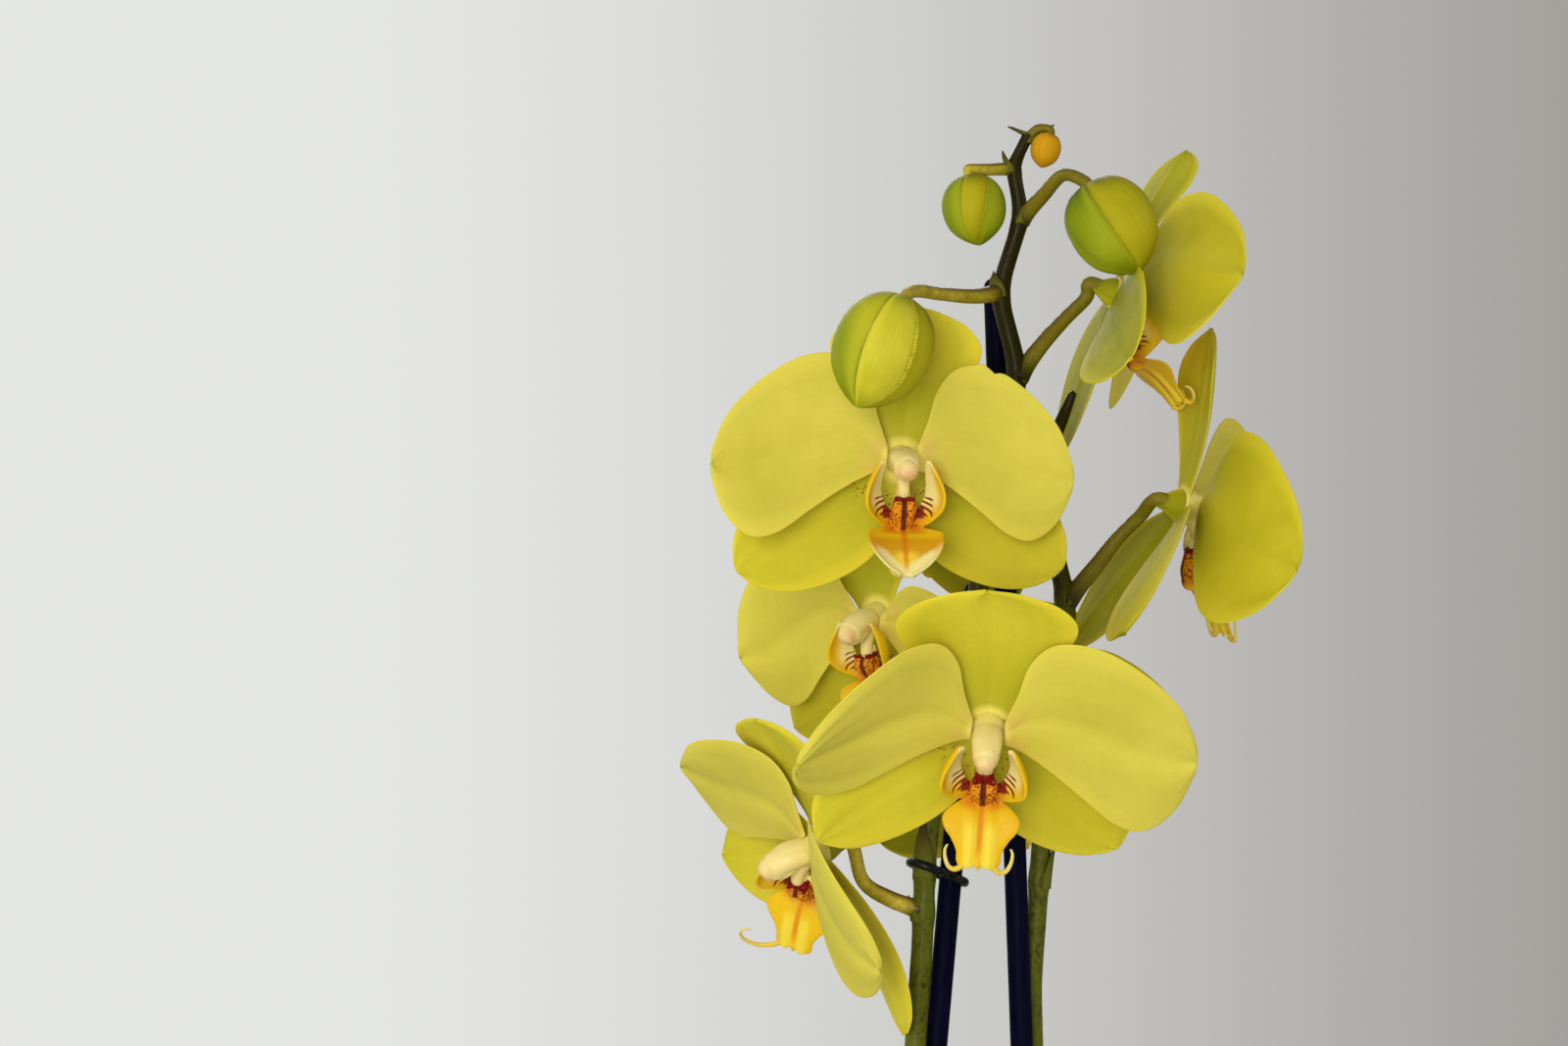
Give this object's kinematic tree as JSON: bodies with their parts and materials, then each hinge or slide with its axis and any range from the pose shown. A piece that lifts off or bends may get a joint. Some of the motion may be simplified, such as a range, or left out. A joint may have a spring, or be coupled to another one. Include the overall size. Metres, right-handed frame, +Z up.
{
  "type": "potted orchid",
  "caption": "Potted moth orchid with staked, arching spikes of open yellow flowers and buds above strap leaves, standing in a plain round cover pot.",
  "frame": {"origin": "middle of the cover pot's flat underside", "axes": "+Z up along the pot's axis; -Y is the side that the flowers face"},
  "size_m": [0.1576, 0.2998, 0.6227],
  "materials": {
    "glazed_ceramic": "gloss",
    "clear_plastic": "clear, thin",
    "bark": "rough",
    "crown": "satin",
    "leaf": "satin, waxy",
    "aerial_root": "matte",
    "stem": "satin",
    "stake_plastic": "satin",
    "clip_plastic": "satin",
    "bud": "satin",
    "sepal": "matte",
    "petal": "matte",
    "lip": "satin, waxy",
    "column": "satin"
  },
  "bodies": {
    "root": {"cover_pot": "glazed_ceramic", "nursery_pot": "clear_plastic", "bark_mix": "bark", "crown": "crown", "leaf_1": "leaf", "leaf_2": "leaf", "leaf_3": "leaf", "leaf_4": "leaf", "leaf_5": "leaf", "root_1": "aerial_root", "root_2": "aerial_root", "root_3": "aerial_root", "flower_spike_left": "stem", "flower_spike_right": "stem", "stake_left": "stake_plastic", "stake_right": "stake_plastic", "clip_left": "clip_plastic", "clip_right": "clip_plastic", "bud_1": "bud", "bud_2": "bud", "bud_3": "bud", "bud_4": "bud", "flower_1_sepals": "sepal", "flower_1_petals": "petal", "flower_1_lip": "lip", "flower_1_column": "column", "flower_2_dorsal_sepal": "sepal", "flower_2_lateral_sepal_left": "sepal", "flower_2_lateral_sepal_right": "sepal", "flower_2_petal_left": "petal", "flower_2_petal_right": "petal", "flower_2_lip": "lip", "flower_2_column": "column", "flower_3_sepals": "sepal", "flower_3_petals": "petal", "flower_3_lip": "lip", "flower_3_column": "column", "flower_4_dorsal_sepal": "sepal", "flower_4_lateral_sepal_left": "sepal", "flower_4_lateral_sepal_right": "sepal", "flower_4_petal_left": "petal", "flower_4_petal_right": "petal", "flower_4_lip": "lip", "flower_4_column": "column", "flower_5_sepals": "sepal", "flower_5_petals": "petal", "flower_5_lip": "lip", "flower_5_column": "column", "flower_6_sepals": "sepal", "flower_6_petals": "petal", "flower_6_lip": "lip", "flower_6_column": "column", "flower_7_sepals": "sepal", "flower_7_petals": "petal", "flower_7_lip": "lip", "flower_7_column": "column", "flower_8_sepals": "sepal", "flower_8_petals": "petal", "flower_8_lip": "lip", "flower_8_column": "column"}
  },
  "joints": []
}
